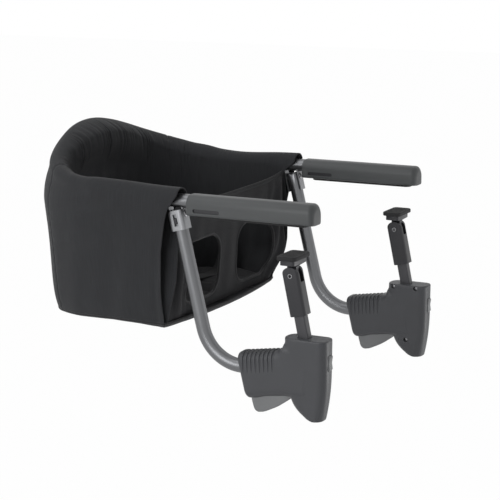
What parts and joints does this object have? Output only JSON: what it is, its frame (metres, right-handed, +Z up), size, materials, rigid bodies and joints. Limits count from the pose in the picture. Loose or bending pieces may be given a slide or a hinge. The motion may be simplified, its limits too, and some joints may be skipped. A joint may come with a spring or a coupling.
{
  "type": "hook-on table chair",
  "caption": "Fabric child's seat on a bent tube frame; padded arms lie on the tabletop while folding arms with squeeze clamps press up from below.",
  "frame": {"origin": "midway between the arms on the line of the table's edge, at the height of the tabletop", "axes": "+Z up, +Y from the table to the back of the seat, so the seated child faces -Y; +X is the child's left"},
  "size_m": [0.441, 0.5209, 0.3778],
  "materials": {
    "frame_steel": "satin, silver grey",
    "plate_steel": "zinc plated",
    "shaft_steel": "satin black",
    "sleeve_plastic": "satin dark grey",
    "housing_plastic": "satin charcoal",
    "black_plastic": "satin black",
    "grey_plastic": "satin mid grey",
    "rubber": "matt black",
    "fabric": "woven charcoal",
    "webbing": "woven black",
    "board": "raw fibreboard"
  },
  "bodies": {
    "seat": {"frame_tube": "frame_steel", "side_panel_left": "fabric", "side_panel_right": "fabric", "back_panel": "fabric", "front_panel": "fabric", "seat_floor": "fabric", "seat_board": "board", "waist_strap_left": "webbing", "waist_strap_right": "webbing", "crotch_strap": "webbing", "buckle_body": "black_plastic", "buckle_tongue_left": "black_plastic", "buckle_tongue_right": "black_plastic", "arm_sleeve_left": "sleeve_plastic", "arm_sleeve_right": "sleeve_plastic", "arm_pad_left": "rubber", "arm_pad_right": "rubber", "arm_screw_left": "plate_steel", "arm_screw_right": "plate_steel", "fold_bracket_left": "plate_steel", "fold_bracket_right": "plate_steel", "fold_pin_left": "plate_steel", "fold_pin_right": "plate_steel"},
    "folding_arm_left": {"lower_tube_left": "frame_steel", "housing_outer_left": "housing_plastic", "housing_inner_left": "housing_plastic", "housing_screw_rear_left": "plate_steel", "housing_screw_front_left": "plate_steel", "housing_screw_lower_left": "plate_steel", "trigger_pin_left": "plate_steel", "drive_spring_left": "plate_steel"},
    "plunger_left": {"plunger_shaft_left": "shaft_steel", "shaft_shroud_left": "black_plastic", "foot_pin_left": "plate_steel"},
    "foot_left": {"foot_block_left": "black_plastic", "foot_pad_left": "rubber"},
    "trigger_left": {"trigger_left": "grey_plastic"},
    "drive_plate_left": {"drive_plate_left": "plate_steel"},
    "brake_plate_left": {"brake_plate_left": "plate_steel"},
    "release_button_left": {"release_button_left": "grey_plastic"},
    "fold_button_left": {"fold_button_left": "black_plastic"},
    "folding_arm_right": {"lower_tube_right": "frame_steel", "housing_outer_right": "housing_plastic", "housing_inner_right": "housing_plastic", "housing_screw_rear_right": "plate_steel", "housing_screw_front_right": "plate_steel", "housing_screw_lower_right": "plate_steel", "trigger_pin_right": "plate_steel", "drive_spring_right": "plate_steel"},
    "plunger_right": {"plunger_shaft_right": "shaft_steel", "shaft_shroud_right": "black_plastic", "foot_pin_right": "plate_steel"},
    "foot_right": {"foot_block_right": "black_plastic", "foot_pad_right": "rubber"},
    "trigger_right": {"trigger_right": "grey_plastic"},
    "drive_plate_right": {"drive_plate_right": "plate_steel"},
    "brake_plate_right": {"brake_plate_right": "plate_steel"},
    "release_button_right": {"release_button_right": "grey_plastic"},
    "fold_button_right": {"fold_button_right": "black_plastic"}
  },
  "joints": [
    {"name": "fold_left", "type": "hinge", "parent": "seat", "child": "folding_arm_left", "pos_m": [0.1935, 0.0368, 0.0005], "axis": [0, 0.9717, -0.2362], "range_deg": [0, 97.5]},
    {"name": "plunger_slide_left", "type": "slide", "parent": "folding_arm_left", "child": "plunger_left", "axis": [0, 0.2079, 0.9781], "range_m": [-0.02, 0.015]},
    {"name": "foot_swivel_left", "type": "hinge", "parent": "plunger_left", "child": "foot_left", "pos_m": [0.1935, -0.14375, -0.06979], "axis": [1, 0, 0], "range_deg": [-12, 12]},
    {"name": "trigger_squeeze_left", "type": "hinge", "parent": "folding_arm_left", "child": "trigger_left", "pos_m": [0.1935, -0.1895, -0.218], "axis": [1, 0, 0], "range_deg": [0, 6.5], "stiffness_Nm_per_rad": 2, "springref_deg": -5.73},
    {"name": "drive_plate_lift_left", "type": "slide", "parent": "folding_arm_left", "child": "drive_plate_left", "axis": [0, 0.2079, 0.9781], "range_m": [0, 0.0021], "deforming": ["drive_spring_left"]},
    {"name": "brake_plate_tilt_left", "type": "hinge", "parent": "folding_arm_left", "child": "brake_plate_left", "pos_m": [0.1935, -0.1544, -0.1869], "axis": [-1, 0, 0], "range_deg": [0, 3]},
    {"name": "release_press_left", "type": "slide", "parent": "folding_arm_left", "child": "release_button_left", "axis": [0, 1, 0], "range_m": [0, 0.003], "stiffness_N_per_m": 400, "springref_m": -0.003},
    {"name": "fold_button_press_left", "type": "slide", "parent": "folding_arm_left", "child": "fold_button_left", "axis": [-1, 0, 0], "range_m": [0, 0.0035], "stiffness_N_per_m": 150, "springref_m": -0.004},
    {"name": "fold_right", "type": "hinge", "parent": "seat", "child": "folding_arm_right", "pos_m": [-0.1935, 0.0368, 0.0005], "axis": [0, -0.9717, 0.2362], "range_deg": [0, 82.5]},
    {"name": "plunger_slide_right", "type": "slide", "parent": "folding_arm_right", "child": "plunger_right", "axis": [0, 0.2079, 0.9781], "range_m": [-0.02, 0.015]},
    {"name": "foot_swivel_right", "type": "hinge", "parent": "plunger_right", "child": "foot_right", "pos_m": [-0.1935, -0.14375, -0.06979], "axis": [1, 0, 0], "range_deg": [-12, 12]},
    {"name": "trigger_squeeze_right", "type": "hinge", "parent": "folding_arm_right", "child": "trigger_right", "pos_m": [-0.1935, -0.1895, -0.218], "axis": [1, 0, 0], "range_deg": [0, 6.5], "stiffness_Nm_per_rad": 2, "springref_deg": -5.73},
    {"name": "drive_plate_lift_right", "type": "slide", "parent": "folding_arm_right", "child": "drive_plate_right", "axis": [0, 0.2079, 0.9781], "range_m": [0, 0.0021], "deforming": ["drive_spring_right"]},
    {"name": "brake_plate_tilt_right", "type": "hinge", "parent": "folding_arm_right", "child": "brake_plate_right", "pos_m": [-0.1935, -0.1544, -0.1869], "axis": [-1, 0, 0], "range_deg": [0, 3]},
    {"name": "release_press_right", "type": "slide", "parent": "folding_arm_right", "child": "release_button_right", "axis": [0, 1, 0], "range_m": [0, 0.003], "stiffness_N_per_m": 400, "springref_m": -0.003},
    {"name": "fold_button_press_right", "type": "slide", "parent": "folding_arm_right", "child": "fold_button_right", "axis": [1, 0, 0], "range_m": [0, 0.0035], "stiffness_N_per_m": 150, "springref_m": -0.004}
  ],
  "couplings": [
    {"joint": "drive_plate_lift_left", "follows": "trigger_squeeze_left", "m_per_rad": 0.0185},
    {"joint": "brake_plate_tilt_left", "follows": "release_press_left", "rad_per_m": 17.45},
    {"joint": "drive_plate_lift_right", "follows": "trigger_squeeze_right", "m_per_rad": 0.0185},
    {"joint": "brake_plate_tilt_right", "follows": "release_press_right", "rad_per_m": 17.45}
  ]
}
